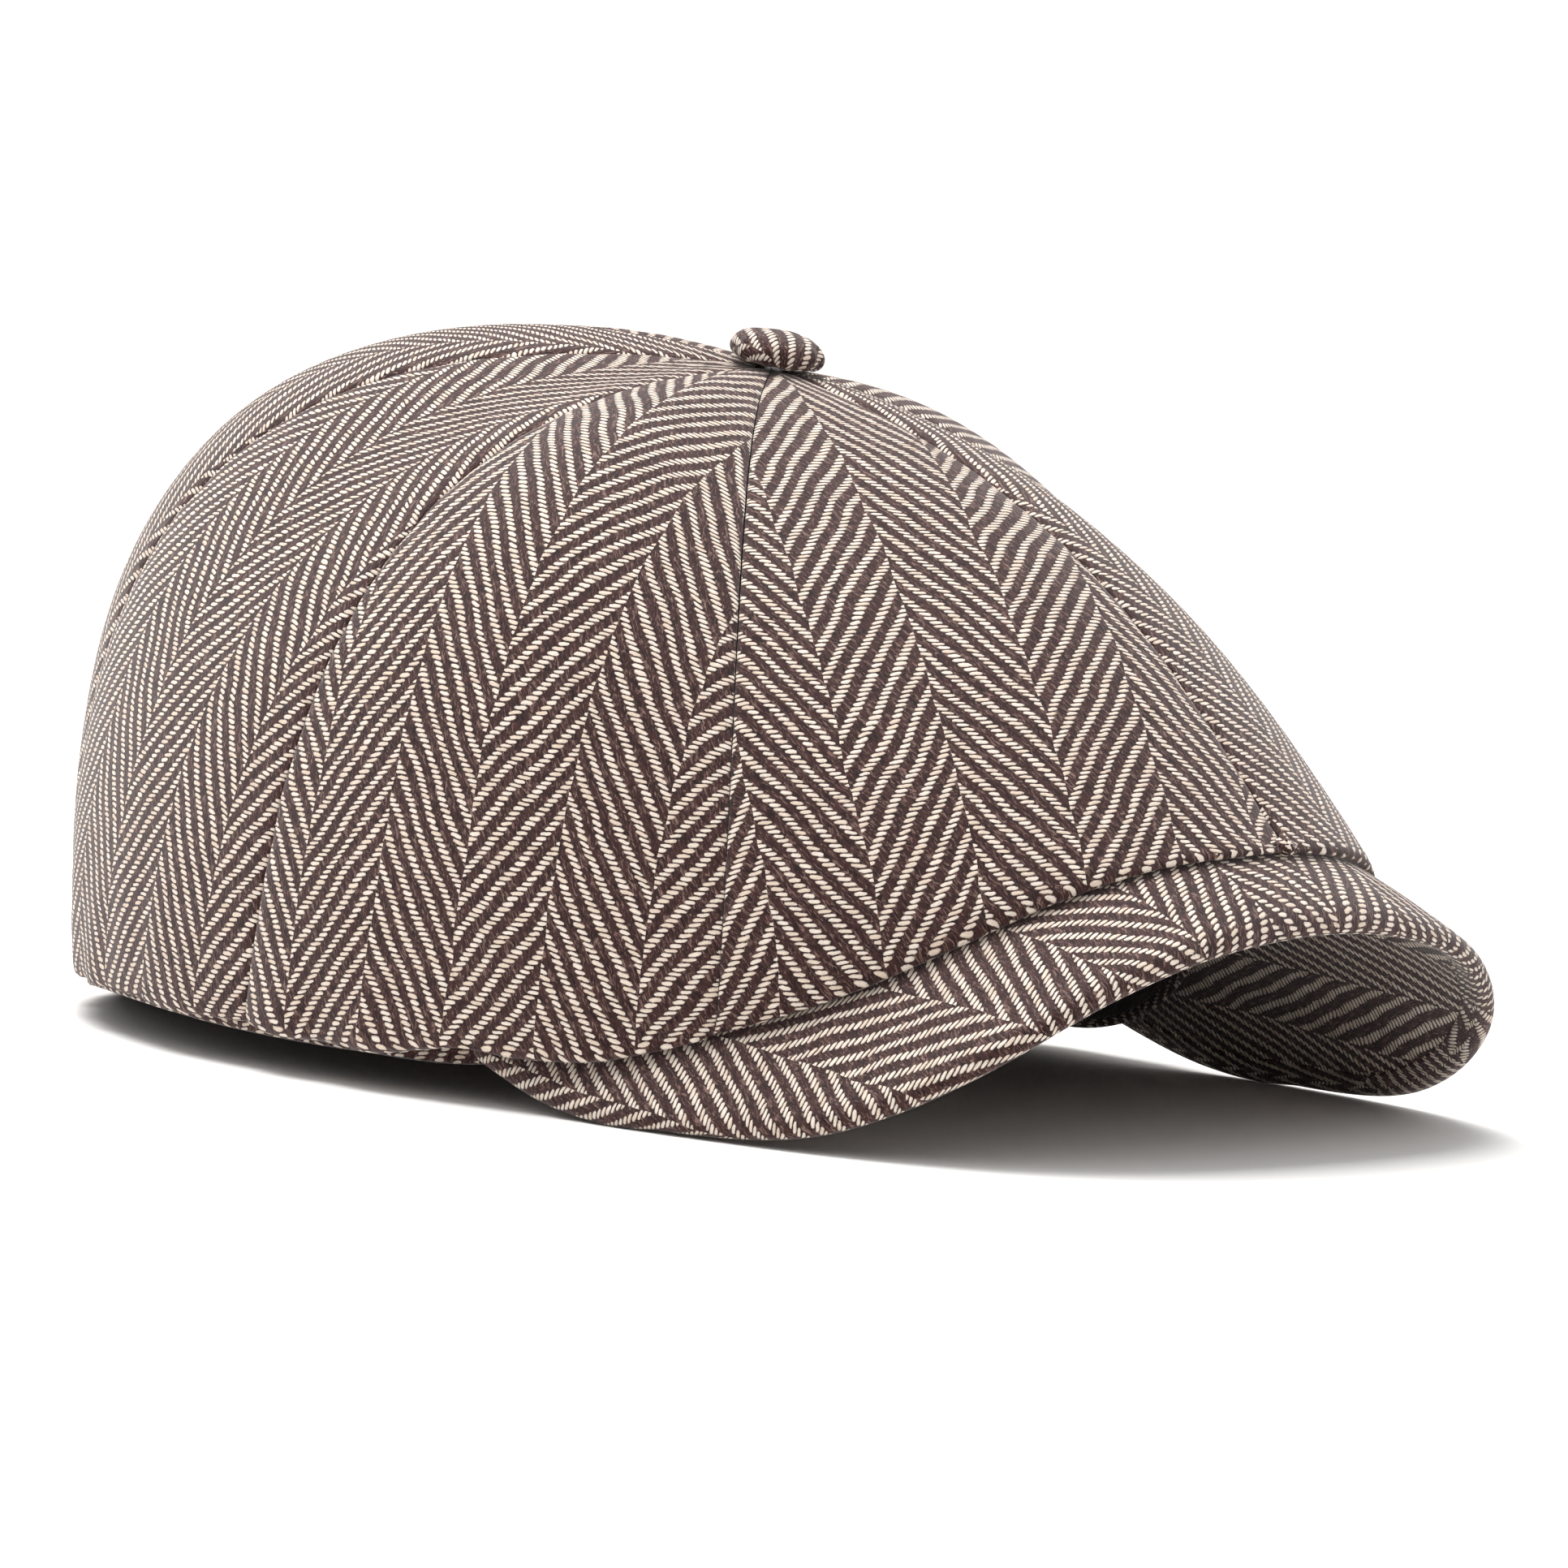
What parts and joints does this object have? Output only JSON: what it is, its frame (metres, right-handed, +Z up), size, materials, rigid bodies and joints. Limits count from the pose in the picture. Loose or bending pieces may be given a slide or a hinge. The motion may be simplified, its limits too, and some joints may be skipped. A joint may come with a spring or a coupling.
{
  "type": "newsboy cap",
  "caption": "Newsboy cap with a full panelled crown, a covered button on top and a stiff arched peak; it sits on the head and shades the eyes.",
  "frame": {"origin": "centre of the head opening, on the plane the cap rests on", "axes": "+Z up, -Y toward the front of the peak, +X to the wearer's left"},
  "size_m": [0.184, 0.2555, 0.125],
  "materials": {
    "tweed": "brown and cream herringbone wool-blend twill",
    "lining": "dark satin",
    "tape": "stiff cotton tape",
    "sweatband": "black cotton twill",
    "button_metal": "pressed, bare",
    "thread": "brown polyester thread",
    "board": "flexible peak board"
  },
  "bodies": {
    "cap": {"crown_front_left": "tweed", "crown_side_front_left": "tweed", "crown_side_back_left": "tweed", "crown_back_left": "tweed", "crown_front_right": "tweed", "crown_side_front_right": "tweed", "crown_side_back_right": "tweed", "crown_back_right": "tweed", "lining_front_left": "lining", "lining_side_front_left": "lining", "lining_side_back_left": "lining", "lining_back_left": "lining", "lining_front_right": "lining", "lining_side_front_right": "lining", "lining_side_back_right": "lining", "lining_back_right": "lining", "head_band": "tweed", "band_tape": "tape", "sweatband": "sweatband", "button_cloth": "tweed", "button_shell": "button_metal", "button_back": "button_metal", "button_thread": "thread"},
    "peak": {"peak_top_cloth": "tweed", "peak_under_cloth": "tweed", "peak_board": "board"}
  },
  "joints": [
    {"name": "peak_flex", "type": "hinge", "parent": "cap", "child": "peak", "pos_m": [0, -0.038, 0.008], "axis": [1, 0, 0], "range_deg": [0, 3], "stiffness_Nm_per_rad": 0.6}
  ]
}
